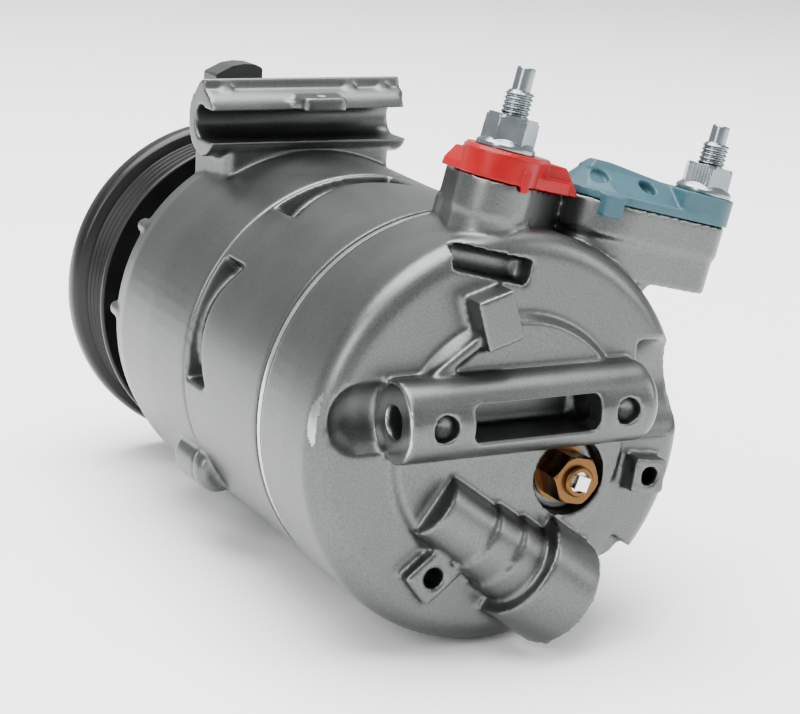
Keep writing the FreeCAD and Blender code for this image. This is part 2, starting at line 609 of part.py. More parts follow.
def control_valve():
    body = fuse(valve_cyl(4.0, 15.0, 5.6), valve_cyl(14.5, 25.0, 7.1),
                valve_cyl(24.5, 37.0, 8.7), valve_cyl(36.5, 48.6, 11.4),
                valve_cyl(48.0, 50.0, 6.0))
    grooves = [cut(valve_cyl(s, s + 1.8, 20.0), valve_cyl(s - 1, s + 3, r - 1.2))
               for s, r in ((9.0, 5.6), (18.0, 7.1), (29.0, 8.7), (41.0, 11.4))]
    return cut(body, *grooves)


def control_valve_o_rings():
    rings = [cut(valve_cyl(s + 0.1, s + 1.7, outer), valve_cyl(s - 1, s + 3, inner))
             for s, inner, outer in ((9.0, 4.45, 6.45), (18.0, 5.95, 7.95),
                                     (29.0, 7.55, 9.55), (41.0, 10.25, 12.55))]
    return Part.makeCompound(rings)


def control_valve_snap_ring():
    ring = cut(valve_cyl(49.05, 50.15, 13.5), valve_cyl(48.0, 52.0, 11.6))
    gap = rod(valve_point(49.6, 11.0), valve_point(49.6, 15.0), 3.0)
    return cut(ring, gap)


# ---- shaft, bearings and seal ----------------------------------------------
def drive_shaft():
    return turned([(0, -186.0), (3.5, -186.0), (4.0, -185.4), (4.0, SHAFT_STEP_Y),
                   (7.0, SHAFT_STEP_Y), (7.0, -152.0), (8.5, -151.0), (8.5, -128.0), (SHAFT_R, -126.0),
                   (SHAFT_R, -38.0), (8.0, -37.0), (8.0, -31.0), (7.0, -30.0), (0, -30.0)])


def needle_bearing(y0, y1):
    """Drawn cup with its needles, on the shaft at radius SHAFT_R."""
    cup = turned([(12.6, y0), (SEAL_SEAT_R, y0), (SEAL_SEAT_R, y1), (12.6, y1)])
    lips = [turned([(11.0, y), (12.7, y), (12.7, y + 0.8), (11.0, y + 0.8)])
            for y in (y0, y1 - 0.8)]
    return fuse(cup, *lips)


def needles(y0, y1):
    r = 1.25
    return [cyl(r, y0 + 1.0, y1 - 1.0, x, z)
            for x, z, _ in around(18, 0.0, SHAFT_R + 0.04 + r)]


def lip_seal():
    return turned([(8.56, -142.0), (9.4, -143.0), (11.2, -143.0), (11.2, -146.8),
                   (13.0, -146.8), (13.0, -134.0), (11.6, -134.0), (11.6, -140.6),
                   (9.2, -140.6), (8.56, -141.2)])


def seal_snap_ring():
    ring = turned([(11.9, -148.85), (13.9, -148.85), (13.9, -147.75), (11.9, -147.75)])
    return cut(ring, box((-2.5, 2.5), (-150.0, -146.0), (5.0, 20.0)))


def front_thrust_bearing():
    return turned([(15.0, FRONT_WALL_Y), (26.0, FRONT_WALL_Y), (26.0, -111.1), (15.0, -111.1)])


def rear_thrust_spring():
    """Stack of wavy washers behind the rear shoulder of the shaft."""
    return turned([(8.4, -36.95), (12.2, -36.95), (12.2, -34.05), (8.4, -34.05)])


def lug_plate():
    disc = turned([(SHAFT_R, -111.0), (36.0, -111.0), (40.0, -109.0), (40.0, LUG_FACE_Y),
                   (16.0, LUG_FACE_Y), (16.0, -99.0), (SHAFT_R, -99.0)])
    arms = [box((x - 5.2, x + 5.2), (-106.0, -88.3), (7.0, 28.0)) for x in (-GUIDE_X, GUIDE_X)]
    arms = [round_edges(a, 2.0, lambda e: e.CenterOfMass.z > 27.5 and e.BoundBox.XLength > 8)
            for a in arms]
    body = fuse(disc, *arms)
    z0, y0 = GUIDE_BALL
    z1, y1 = GUIDE_BALL_TILTED
    tools = []
    for x in (-GUIDE_X, GUIDE_X):
        r = GUIDE_BALL_R + 0.35
        dz, dy = (z1 - z0) * 0.08, (y1 - y0) * 0.08
        tools += [rod((x, y0 - dy, z0 - dz), (x, y1 + dy, z1 + dz), r),
                  Part.makeSphere(r, V(x, y0 - dy, z0 - dz)),
                  Part.makeSphere(r, V(x, y1 + dy, z1 + dz)),
                  box((x - 3.0, x + 3.0), (y0 - 1.0, -80.0), (z0 - 3.4, 40.0)),
                  box((x - 3.0, x + 3.0), (y0 - 3.0, -80.0), (z1 - 2.0, 40.0))]
    tools += [cyl(SHAFT_R, -120.0, -80.0), cyl(13.2, LUG_FACE_Y + 4.5, -80.0)]
    return spun(cut(body, *tools), HINGE_DEG - 90.0)


def swash_plate():
    disc = cyl(SWASH_R, SWASH_Y - SWASH_T / 2, SWASH_Y + SWASH_T / 2)
    ears = [cyl(3.8, -77.5, SWASH_Y, x, GUIDE_BALL[0]) for x in (-GUIDE_X, GUIDE_X)]
    web = box((-GUIDE_X, GUIDE_X), (-77.0, SWASH_Y), (11.6, 18.4))
    balance = cut(cyl(20.5, -76.5, SWASH_Y), box((-30, 30), (-90, -60), (-6, 30)))
    r = SHAFT_R + 0.7
    bore = fuse(cyl(r, -90.0, -60.0), cyl(r, -90.0, -60.0, 0, -2.6),
                box((-r, r), (-90.0, -60.0), (-2.6, 0)))
    front_relief = cyl(r, -90.0, -73.0, 0, 0.8)
    body = fuse(disc, web, balance, *ears)
    body = cut(body, bore, front_relief,
               *[cyl(GUIDE_PIN_R, -90.0, -60.0, x, GUIDE_BALL[0]) for x in (-GUIDE_X, GUIDE_X)])
    return spun(body, HINGE_DEG - 90.0)


def guide_pins():
    pins = []
    for x in (-GUIDE_X, GUIDE_X):
        z, y = GUIDE_BALL
        pins.append(fuse(cyl(GUIDE_PIN_R, y, SWASH_Y + 2.5, x, z),
                         Part.makeSphere(GUIDE_BALL_R, V(x, y, z))))
    return spun(Part.makeCompound(pins), HINGE_DEG - 90.0)


# ---- pistons and shoes -----------------------------------------------------
def piston(degrees):
    """Head in the bore, neck and claw round the rim of the swash plate."""
    c = CYLINDER_PITCH_R
    head = turned([(0, -50.0), (BORE_R - BORE_CLEARANCE - 1.0, -50.0),
                   (BORE_R - BORE_CLEARANCE, -49.0), (BORE_R - BORE_CLEARANCE, -3.2),
                   (BORE_R - BORE_CLEARANCE - 0.8, -2.4), (0, -2.4)])
    grooves = [turned([(12.2, y), (16.0, y), (16.0, y + 1.6), (12.2, y + 1.6)])
               for y in (-8.0, -13.0)]
    hollow = turned([(0, -46.0), (9.5, -44.0), (10.5, -40.0), (10.5, -8.0), (0, -6.0)])
    head = moved(cut(head, hollow, *grooves), c, 0, 0)
    claw = box((c - 5.8, 43.2), (-86.0, -48.0), (-6.5, 6.5))
    claw = claw.common(cyl(43.2, -90.0, -40.0))
    window = box((c - 9.0, 40.2), (SWASH_Y - 6.3, SWASH_Y + 6.3), (-10.0, 10.0))
    pockets = Part.makeSphere(SHOE_R + 0.05, V(c, SWASH_Y, 0))
    body = fuse(head, claw)
    body = cut(body, window, pockets)
    return spun(body, degrees)


def shoes(degrees):
    """Pair of shoes: caps of one ball, flat towards the swash plate."""
    ball = Part.makeSphere(SHOE_R, V(CYLINDER_PITCH_R, SWASH_Y, 0))
    gap = SWASH_T / 2 + SHOE_GAP
    pair = cut(ball, box((0, 60), (SWASH_Y - gap, SWASH_Y + gap), (-20, 20)))
    return spun(Part.makeCompound(pair.Solids), degrees)


# ---- clutch: coil, pulley on its bearing, hub and armature ------------------
def pulley():
    rim = [(58.0, PULLEY_FRONT_Y + 1.0), (57.2, PULLEY_FRONT_Y), (28.0, PULLEY_FRONT_Y),
           (28.0, PULLEY_FRONT_Y + 1.0), (27.5, PULLEY_FRONT_Y + 1.5), (27.5, -147.0),
           (31.0, -147.0), (31.0, -165.5), (47.2, -165.5), (47.2, PULLEY_REAR_Y),
           (55.0, PULLEY_REAR_Y), (55.6, PULLEY_REAR_Y - 0.6),
           (55.6, PULLEY_REAR_Y - 1.8)]
    y = PULLEY_REAR_Y - 1.8
    for k in range(RIBS):
        rim += [(RIB_ROOT_R, y - 1.15), (RIB_ROOT_R, y - 1.65),
                (RIB_TIP_R, y - RIB_PITCH + 0.4), (RIB_TIP_R, y - RIB_PITCH)]
        y -= RIB_PITCH
    rim += [(RIB_ROOT_R, y - 0.9), (RIB_ROOT_R, y - 1.6), (56.6, PULLEY_FRONT_Y + 8.0 - 0.4),
            (57.4, PULLEY_FRONT_Y + 6.6), (58.0, PULLEY_FRONT_Y + 5.4)]
    body = turned(rim)
    # curved slots through the friction face that guide the coil's flux
    slots = []
    for ring_r in (36.0, 42.0):
        ring = cut(cyl(ring_r + 0.9, -173.0, -165.0), cyl(ring_r - 0.9, -174.0, -164.0))
        for k in range(6):
            a = 60.0 * k + (30.0 if ring_r > 40 else 0.0)
            slots.append(cut(ring, *[spun(box((0, 70), (-175, -160), (-70, 0)), a - 24.0),
                                     spun(box((0, 70), (-175, -160), (0, 70)), a + 24.0),
                                     spun(box((-70, 0), (-175, -160), (-70, 70)), a)]))
    return cut(body, *slots)


BEARING_Y = (-168.0, -148.0)


def bearing_outer_race():
    y0, y1 = BEARING_Y
    ring = turned([(25.0, y0), (27.5, y0), (27.5, y1), (25.0, y1)])
    return cut(ring, *bearing_tracks())


def bearing_inner_race():
    y0, y1 = BEARING_Y
    ring = turned([(NOSE_R, y0), (20.0, y0), (20.0, y1), (NOSE_R, y1)])
    return cut(ring, *bearing_tracks())


def bearing_tracks():
    return [Part.makeTorus(22.5, 3.55, V(0, y, 0), V(0, 1, 0)) for y in (-162.5, -153.5)]


def bearing_balls():
    balls = []
    for y in (-162.5, -153.5):
        for x, z, _ in around(14, 0.0 if y < -160 else 12.0, 22.5):
            balls.append(Part.makeSphere(3.5, V(x, y, z)))
    return Part.makeCompound(balls)


def bearing_seals():
    return Part.makeCompound([
        turned([(20.3, y), (25.0, y), (25.0, y + 0.8), (20.3, y + 0.8)])
        for y in (BEARING_Y[0] + 0.2, BEARING_Y[1] - 1.0)])


def bearing_snap_ring():
    ring = turned([(16.45, -169.35), (19.6, -169.35), (19.6, -168.25), (16.45, -168.25)])
    return cut(ring, box((-3.0, 3.0), (-172.0, -166.0), (10.0, 25.0)))


def coil_shell():
    """Steel cup of the clutch coil, on a plate against the shoulder."""
    cup = turned([(31.6, -138.0), (46.6, -138.0), (46.6, -163.0), (44.6, -163.0),
                  (44.6, -140.2), (33.6, -140.2), (33.6, -163.0), (31.6, -163.0)])
    base = turned([(NOSE_R + 0.1, SHOULDER_Y), (44.0, SHOULDER_Y), (44.0, -138.1),
                   (NOSE_R + 0.1, -138.1)])
    return fuse(cup, base)


def coil_winding():
    return turned([(33.7, -140.3), (44.5, -140.3), (44.5, -162.4), (33.7, -162.4)])


def coil_snap_ring():
    return cut(turned([(NOSE_R, -139.5), (21.0, -139.5), (21.0, -138.15), (NOSE_R, -138.15)]),
               box((-3, 3), (-142, -136), (10, 25)))


def coil_connector():
    """Nylon plug housing on a stalk that stands on the coil's base plate."""
    stalk = box((8.5, 19.0), (-140.9, -133.4), (40.0, 74.0))
    shell = plate([(5.4, 71.0), (5.4, 82.4), (8.0, 83.6), (12.0, 83.8), (16.0, 83.2),
                   (22.0, 80.4), (22.0, 71.0)], -137.0, -126.0)
    shell = round_edges(shell, 1.2, lambda e: e.BoundBox.YLength > 10)
    body = fuse(shell, stalk)
    socket = box((4.0, 15.0), (-135.4, -127.4), (72.6, 79.2))
    pins = [rod((16.0, y, 76.0), (8.0, y, 76.0), 0.8) for y in (-133.2, -129.6)]
    return cut(fuse(cut(body, socket), *pins), cyl(46.65, -170.0, SHOULDER_Y),
               cyl(SHOULDER_R + 0.05, SHOULDER_Y - 0.5, -120.0))


def clutch_hub():
    """Splined boss with a three-armed flange that carries the leaf springs."""
    boss = turned([(7.05, SHAFT_STEP_Y - 0.1), (4.3, SHAFT_STEP_Y - 0.1), (4.3, -179.4),
                   (12.0, -179.4), (12.0, -182.4), (14.0, -182.4), (14.0, -174.0),
                   (11.0, -172.5), (11.0, -160.0), (7.05, -160.0)])
    flange = turned([(13.5, -182.4), (20.0, -182.4), (20.0, -179.4), (13.5, -179.4)])
    arms = [spun(oblong_y((16.0, 0), 8.0, (37.0, 0), 5.5, -182.4, -179.4), 120.0 * k)
            for k in range(3)]
    hub = fuse(boss, flange, *arms)
    holes = [cyl(2.0, -184.0, -178.0, *polar(37.0, 120.0 * k)) for k in range(3)]
    return cut(hub, cyl(4.3, -190.0, -170.0), cyl(10.0, -190.0, -179.4).cut(
        cyl(4.0, -191.0, -170.0)), *holes)


def oblong_y(a, ra, b, rb, y0, y1):
    """Outline round two circles in the XZ plane, extruded along Y."""
    flat = oblong(a, ra, b, rb, 0, y1 - y0)
    flat.rotate(V(0, 0, 0), V(1, 0, 0), 90)
    flat.translate(V(0, y1, 0))
    return flat


def armature_plate():
    face_y = PULLEY_FRONT_Y - AIR_GAP
    plate_ = turned([(29.0, face_y - 4.0), (45.0, face_y - 4.0), (46.0, face_y - 3.0),
                     (46.0, face_y), (29.0, face_y)])
    slots = []
    ring = cut(cyl(39.9, -178.0, -172.0), cyl(38.1, -179.0, -171.0))
    for k in range(3):
        a = 120.0 * k + 60.0
        slots.append(cut(ring, spun(box((0, 70), (-180, -170), (-70, 0)), a - 35.0),
                         spun(box((0, 70), (-180, -170), (0, 70)), a + 35.0),
                         spun(box((-70, 0), (-180, -170), (-70, 70)), a)))
    holes = [cyl(2.0, -178.0, -171.0, *polar(37.0, 120.0 * k + 52.0)) for k in range(3)]
    return cut(plate_, *(slots + holes))


def leaf_springs():
    """Three spring-steel strips from the hub's arms to the armature."""
    y0 = PULLEY_FRONT_Y - AIR_GAP - 4.0
    springs = []
    for k in range(3):
        start = polar(37.0, 120.0 * k)
        end = polar(37.0, 120.0 * k + 52.0)
        strip = oblong_y(start, 5.0, end, 4.99, y0 - 1.2, y0 - 0.2)
        springs.append(cut(strip, cyl(2.0, -190, -170, *start), cyl(2.0, -190, -170, *end)))
    return Part.makeCompound(springs)


def hub_rivets():
    y0 = PULLEY_FRONT_Y - AIR_GAP - 4.0
    return Part.makeCompound([
        moved(turned([(0, -184.0), (2.6, -184.0), (3.4, -182.5), (1.95, -182.45),
                      (1.95, y0 - 0.15), (0, y0 - 0.15)]), *xz_shift(37.0, 120.0 * k))
        for k in range(3)])


def armature_rivets():
    y0 = PULLEY_FRONT_Y - AIR_GAP - 4.0
    return Part.makeCompound([
        moved(turned([(0, y0 - 2.6), (2.6, y0 - 2.6), (3.2, y0 - 1.25), (1.95, y0 - 1.2),
                      (1.95, y0 + 3.6), (0, y0 + 3.6)]), *xz_shift(37.0, 120.0 * k + 52.0))
        for k in range(3)])


def xz_shift(radius, degrees):
    x, z = polar(radius, degrees)
    return x, 0, z


def hub_nut():
    body = hexagon(13.0, -185.2, -179.5).common(
        turned([(0, -185.2), (6.6, -185.2), (7.6, -184.0), (7.6, -179.5), (0, -179.5)]))
    return cut(body, cyl(4.05, -190.0, -170.0))


def return_spring():
    """Coil spring that pushes the swash plate upright, shown as its sleeve."""
    return turned([(SHAFT_R + 0.3, -98.5), (12.6, -98.5), (12.6, -78.0), (SHAFT_R + 0.3, -78.0)])


# ---- build every node ------------------------------------------------------
nodes = {
    "front_housing": front_housing(),
    "cylinder_casing": cylinder_casing(),
    "rear_head": rear_head(),
    "seam_o_ring": seam_o_ring(),
    "front_gasket": front_gasket(),
    "suction_reed_plate": suction_reed_plate(),
    "valve_plate": valve_plate(),
    "discharge_reed_plate": discharge_reed_plate(),
    "rear_gasket": rear_gasket(),
    "through_bolts": through_bolts(),
    "front_needle_cup": needle_bearing(-124.9, -114.4),
    "rear_needle_cup": needle_bearing(-52.0, -38.5),
    "bearing_needles": Part.makeCompound(needles(-124.9, -114.4) + needles(-52.0, -38.5)),
    "shaft_lip_seal": lip_seal(),
    "snap_rings": Part.makeCompound([seal_snap_ring(), coil_snap_ring(),
                                     bearing_snap_ring()]),
    "front_thrust_bearing": front_thrust_bearing(),
    "rear_thrust_spring": rear_thrust_spring(),
    "coil_shell": coil_shell(),
    "coil_winding": coil_winding(),
    "coil_connector": coil_connector(),
    "pulley_bearing_inner_race": bearing_inner_race(),
    "control_valve": control_valve(),
    "control_valve_o_rings": control_valve_o_rings(),
    "control_valve_snap_ring": control_valve_snap_ring(),
    "relief_valve_body": relief_valve_body(),
    "relief_valve_core": relief_valve_core(),
    "discharge_stud": stud(22.9, 23.0, 6.6, DISCHARGE_TOP),
    "suction_stud": stud(20.4, 19.0, 5.4, SUCTION_TOP),
    "discharge_nut": nut(9.4, 30.0, DISCHARGE_TOP),
    "suction_nut": nut(8.4, 0.0, SUCTION_TOP),
    "discharge_cap": discharge_cap(),
    "suction_cap": suction_cap(),
    "pulley": pulley(),
    "pulley_bearing_outer_race": bearing_outer_race(),
    "pulley_bearing_balls": bearing_balls(),
    "pulley_bearing_seals": bearing_seals(),
    "drive_shaft": drive_shaft(),
    "lug_plate": lug_plate(),
    "clutch_hub": clutch_hub(),
    "hub_rivets": hub_rivets(),
    "hub_nut": hub_nut(),
    "return_spring": return_spring(),
    "armature_plate": armature_plate(),
    "armature_rivets": armature_rivets(),
    "clutch_leaf_springs": leaf_springs(),
    "swash_plate": swash_plate(),
    "guide_pins": guide_pins(),
}
for number, (_, _, degrees) in enumerate(CYLINDER_PLACES, 1):
    nodes["piston_%d" % number] = piston(degrees)
    nodes["shoes_%d" % number] = shoes(degrees)

for name in sorted(nodes):
    shape = nodes[name]
    shape.translate(V(0, 0, 0) - ORIGIN)
    shape.exportStep("parts/%s.step" % name)
    box_ = shape.BoundBox
    print("%-28s solids %2d valid %s  %7.1f cm3  x %6.1f %6.1f y %6.1f %6.1f z %6.1f %6.1f" % (
        name, len(shape.Solids), shape.isValid(), shape.Volume / 1000.0,
        box_.XMin, box_.XMax, box_.YMin, box_.YMax, box_.ZMin, box_.ZMax))
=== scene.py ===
import math

import bmesh
import bpy
from mathutils import Matrix, Vector


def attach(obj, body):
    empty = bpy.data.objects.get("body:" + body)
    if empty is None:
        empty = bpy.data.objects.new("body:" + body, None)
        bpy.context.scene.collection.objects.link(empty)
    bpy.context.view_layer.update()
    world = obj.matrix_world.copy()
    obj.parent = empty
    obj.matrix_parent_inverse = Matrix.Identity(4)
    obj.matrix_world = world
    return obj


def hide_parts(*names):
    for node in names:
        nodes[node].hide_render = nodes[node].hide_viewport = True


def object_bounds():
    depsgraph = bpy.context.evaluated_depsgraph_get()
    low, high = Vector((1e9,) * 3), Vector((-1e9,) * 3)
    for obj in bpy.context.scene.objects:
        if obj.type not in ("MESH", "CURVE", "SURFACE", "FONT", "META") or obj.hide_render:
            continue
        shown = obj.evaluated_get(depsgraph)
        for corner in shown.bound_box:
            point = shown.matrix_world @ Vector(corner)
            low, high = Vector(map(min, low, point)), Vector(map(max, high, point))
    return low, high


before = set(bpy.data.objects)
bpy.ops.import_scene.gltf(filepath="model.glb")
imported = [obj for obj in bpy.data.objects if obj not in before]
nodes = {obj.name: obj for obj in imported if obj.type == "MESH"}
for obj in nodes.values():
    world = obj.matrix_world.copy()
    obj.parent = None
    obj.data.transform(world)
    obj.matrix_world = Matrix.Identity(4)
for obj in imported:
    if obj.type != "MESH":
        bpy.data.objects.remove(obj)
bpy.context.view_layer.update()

MM = 0.001
# Where the shaft axis passes the joint behind the cylinder casing.
SHAFT = Vector((-29.0, -45.0, -11.2)) * MM
UPRIGHT = (-math.pi / 2, 0.0, 0.0)      # turns the shaft axis onto the pattern's Z
AXIS = (tuple(SHAFT), UPRIGHT)
BAR_END = 9.5 * MM                      # machined end of the rear mounting bar
MILLED_R = 11.0 * MM                    # reach of the milled face round the bar's bore
MILLED_DEPTH = 1.3 * MM                 # band behind that face which still counts as milled
SAME_POINT = 1e-6                       # corners of a CAD mesh this near are one point
SHARP = math.radians(28.0)              # edges sharper than this get a broken edge
FAINT, DEEP = 0.3, 0.7                  # the part of a noise's range that shows


# ---- Casings -----------------------------------------------------------------
# Front housing, cylinder casing and rear head are pressure die castings in an
# aluminium-silicon alloy, shot-blasted to an even satin.  The die leaves a
# radius of one to two millimetres on every edge; joint faces and bores are
# machined afterwards.

def linear(code):
    """Linear colour of an sRGB hex value."""
    parts = [int(code[i:i + 2], 16) / 255.0 for i in (1, 3, 5)]
    return [p / 12.92 if p <= 0.04045 else ((p + 0.055) / 1.055) ** 2.4 for p in parts] + [1.0]


def add(tree, kind, sockets=None, **settings):
    """Adds one node; sockets maps an input to a value or to another node's output."""
    node = tree.nodes.new(kind)
    for key, value in settings.items():
        setattr(node, key, value)
    for name, value in (sockets or {}).items():
        if isinstance(value, bpy.types.NodeSocket):
            tree.links.new(value, node.inputs[name])
        else:
            node.inputs[name].default_value = value
    return node


def new_material(name, **sockets):
    """An empty principled material and its tree."""
    material = bpy.data.materials.new(name)
    material.use_nodes = True
    tree = material.node_tree
    shader = tree.nodes["Principled BSDF"]
    for key, value in sockets.items():
        shader.inputs[key.replace("_", " ")].default_value = value
    return material, tree, shader


def clouds(tree, place, size_mm, **settings):
    """Soft uneven pattern, with patches of the given size."""
    return add(tree, "ShaderNodeTexNoise",
               {"Vector": place, "Scale": 1.0 / (size_mm * MM), "Detail": 4.0, **settings})


def grains(tree, place, size_mm, **settings):
    """Fine even grain of the given size."""
    return add(tree, "ShaderNodeTexNoise",
               {"Vector": place, "Scale": 1.0 / (size_mm * MM), "Detail": 3.0, **settings})


def ranged(tree, pattern, low, high):
    """A pattern's visible range spread between two values."""
    return add(tree, "ShaderNodeMapRange",
               {"Value": pattern.outputs["Fac"], "From Min": FAINT, "From Max": DEEP,
                "To Min": low, "To Max": high}).outputs[0]


def shaded(tree, shader, cloud, colour, low, high):
    """Base colour that is a little darker and lighter in patches."""
    base = add(tree, "ShaderNodeVectorMath",
               {0: linear(colour)[:3], "Scale": ranged(tree, cloud, low, high)},
               operation="SCALE")
    tree.links.new(base.outputs[0], shader.inputs["Base Color"])


def embossed(tree, shader, pattern, strength, relief_mm):
    """Relief too fine to be modelled."""
    bump = add(tree, "ShaderNodeBump",
               {"Height": pattern.outputs["Fac"], "Strength": strength,
                "Distance": relief_mm * MM})
    tree.links.new(bump.outputs["Normal"], shader.inputs["Normal"])


def blasted_metal(name, dark, light, painted_highlight, roughness, grain_mm, relief_mm):
    """Metal with a fine grain, cloudy tone and a painted highlight along its sharp edges."""
    material, tree, shader = new_material(name, Metallic=1.0)
    place = add(tree, "ShaderNodeTexCoord").outputs["Object"]
    grain = grains(tree, place, grain_mm, Roughness=0.6)
    cloud = clouds(tree, place, 18.0, Roughness=0.55)
    mix = add(tree, "ShaderNodeMath",
              {0: cloud.outputs["Fac"], 1: 0.4, 2: grain.outputs["Fac"]},
              operation="MULTIPLY_ADD")
    tone = add(tree, "ShaderNodeMapRange",
               {"Value": mix.outputs[0], "From Min": 0.5, "From Max": 0.9})
    colour = add(tree, "ShaderNodeMix",
                 {"Factor": tone.outputs[0], "A": linear(dark), "B": linear(light)},
                 data_type="RGBA")
    # Painted highlight: sharp edges are lightened toward a pale grey, standing in for the
    # shine that light leaves along them.
    edge = add(tree, "ShaderNodeMapRange",
               {"Value": add(tree, "ShaderNodeNewGeometry").outputs["Pointiness"],
                "From Min": 0.51, "From Max": 0.62, "To Max": 0.22})
    highlighted = add(tree, "ShaderNodeMix",
               {"Factor": edge.outputs[0], "A": colour.outputs["Result"],
                "B": linear(painted_highlight)}, data_type="RGBA")
    tree.links.new(highlighted.outputs["Result"], shader.inputs["Base Color"])
    tree.links.new(ranged(tree, cloud, roughness - 0.02, roughness + 0.03),
                   shader.inputs["Roughness"])
    embossed(tree, shader, grain, 0.8, relief_mm)
    return material


def turned_metal(name, colour, roughness, pitch_mm, axis, relief_mm=0.02):
    """Metal with fine concentric tool marks round an axis through a point."""
    material, tree, shader = new_material(name, Metallic=1.0)
    centre, turn = axis
    place = add(tree, "ShaderNodeTexCoord").outputs["Object"]
    local = add(tree, "ShaderNodeMapping", {"Vector": place, "Location": [-c for c in centre]})
    local = add(tree, "ShaderNodeVectorRotate",
                {"Vector": local.outputs[0], "Rotation": turn}, rotation_type="EULER_XYZ")
    rings = add(tree, "ShaderNodeTexWave",
                {"Vector": local.outputs[0], "Scale": 1.0 / (pitch_mm * MM * math.pi),
                 "Distortion": 0.6, "Detail": 2.0}, wave_type="RINGS", rings_direction="Z")
    cloud = clouds(tree, place, 6.0)
    shaded(tree, shader, cloud, colour, 0.82, 1.0)
    tree.links.new(ranged(tree, cloud, roughness - 0.04, roughness + 0.07),
                   shader.inputs["Roughness"])
    embossed(tree, shader, rings, 0.35, relief_mm)
    return material


def matt(name, colour, roughness, grain_mm, relief_mm, **extra):
    """Non-metal with a faint grain: rubber, paint or moulded plastic."""
    material, tree, shader = new_material(name, Roughness=roughness, **extra)
    place = add(tree, "ShaderNodeTexCoord").outputs["Object"]
    grain = grains(tree, place, grain_mm)
    cloud = clouds(tree, place, 9.0)
    shaded(tree, shader, cloud, colour, 0.86, 1.08)
    tree.links.new(ranged(tree, cloud, roughness - 0.05, roughness + 0.06),
                   shader.inputs["Roughness"])
    embossed(tree, shader, grain, 0.4, relief_mm)
    return material


def merged_copy(node_name, piece_name):
    """The CAD node's shape as a closed mesh of its own."""
    mesh = nodes[node_name].data.copy()
    mesh.materials.clear()
    shape = bmesh.new()
    shape.from_mesh(mesh)
    bmesh.ops.remove_doubles(shape, verts=shape.verts, dist=SAME_POINT)
    shape.to_mesh(mesh)
    shape.free()
    piece = bpy.data.objects.new(piece_name, mesh)
    bpy.context.scene.collection.objects.link(piece)
    return piece


def freeze(piece):
    """Makes the piece's modifiers part of its mesh."""
    graph = bpy.context.evaluated_depsgraph_get()
    mesh = bpy.data.meshes.new_from_object(piece.evaluated_get(graph))
    piece.modifiers.clear()
    piece.data = mesh
    return mesh


def softened(piece, voxel_mm, passes):
    """Closed skin of small even faces over the piece, with its edges rounded."""
    skin = piece.modifiers.new("skin", "REMESH")
    skin.mode = "VOXEL"
    skin.voxel_size = voxel_mm * MM
    radii = piece.modifiers.new("radii", "SMOOTH")
    radii.factor = 0.5
    radii.iterations = passes
    return freeze(piece)


def thinned(piece, ratio):
    """Keeps the given share of the faces, fewest where the skin is flat."""
    thin = piece.modifiers.new("thin", "DECIMATE")
    thin.ratio = ratio
    return freeze(piece)


def cast_piece(node_name, voxel_mm, passes, most=185000):
    """Closed skin over the CAD shape with the small even radii of a casting."""
    piece = merged_copy(node_name, node_name + "_skin")
    mesh = softened(piece, voxel_mm, passes)
    count = sum(len(face.vertices) - 2 for face in mesh.polygons)
    if count > most:
        mesh = thinned(piece, most / count)
    mesh.polygons.foreach_set("use_smooth", [True] * len(mesh.polygons))
    return piece


def dress(node_name, material, edge_mm=0.0):
    """Gives a CAD node its finish and, where wanted, a small broken edge."""
    node = nodes[node_name]
    node.data.materials.clear()
    node.data.materials.append(material)
    if edge_mm:
        weld = node.modifiers.new("weld", "WELD")
        weld.merge_threshold = SAME_POINT
        edge = node.modifiers.new("edge", "BEVEL")
        edge.width = edge_mm * MM
        edge.segments = 2
        edge.limit_method = "ANGLE"
        edge.angle_limit = SHARP
        edge.use_clamp_overlap = True


# Shot-blasted die casting: even satin grey, a fine pebbled grain, and a painted highlight that
# lightens the edges.
CAST = blasted_metal("cast_aluminium_satin", "#525453", "#636564", "#a4a6a6",
                     roughness=0.36, grain_mm=0.55, relief_mm=0.03)
# Milled face of the bar: brighter and smoother, with fine arcs left by the cutter.
MACHINED = turned_metal("milled_aluminium", "#a9abab", 0.20, 0.6,
                        ((BAR_END, 0.0, 0.0), (0.0, -math.pi / 2, 0.0)))

for node_name in ("front_housing", "cylinder_casing", "rear_head"):
    casting = cast_piece(node_name, voxel_mm=0.75, passes=5)
    casting.data.materials.append(CAST)
    casting.data.materials.append(MACHINED)
    for face in casting.data.polygons:
        x, y, z = face.center
        near_bar_end = x > BAR_END - MILLED_DEPTH and math.hypot(y, z) < MILLED_R
        if near_bar_end and face.normal.x > 0.8:
            face.material_index = 1
    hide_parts(node_name)
    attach(casting, "casing")


# ---- Joint of casing and rear head ---------------------------------------------
# A rubber-coated sheet gasket, black at its edge, then the ground steel valve
# plate, whose bright edge shows as a thin band, then the two blued reed plates.
# An O-ring seals the front joint.  All are clamped by the through bolts.

# Sheet steel under a thin rubber coat: a dull black line at the joint.
GASKET = matt("rubber_coated_gasket", "#1b1b1c", 0.55, 0.3, 0.01)
# Moulded nitrile rubber: black with a soft sheen.
SEAL = matt("black_seal_rubber", "#161616", 0.45, 0.4, 0.01)
# Ground plate: the brightest metal here, almost without grain.
PLATE = turned_metal("ground_steel_plate", "#c2c5c6", 0.22, 0.4, AXIS)
# Hardened and tempered strip: blue-grey with a soft shine.
BLUED = turned_metal("blued_spring_steel", "#6a7078", 0.30, 0.4, AXIS)
for node_name in ("front_gasket", "rear_gasket"):
    dress(node_name, GASKET)
for node_name in ("seam_o_ring", "shaft_lip_seal", "control_valve_o_rings",
                  "pulley_bearing_seals"):
    dress(node_name, SEAL)
for node_name in ("suction_reed_plate", "discharge_reed_plate", "rear_thrust_spring",
                  "return_spring", "snap_rings", "control_valve_snap_ring"):
    dress(node_name, BLUED)
dress("valve_plate", PLATE, 0.2)


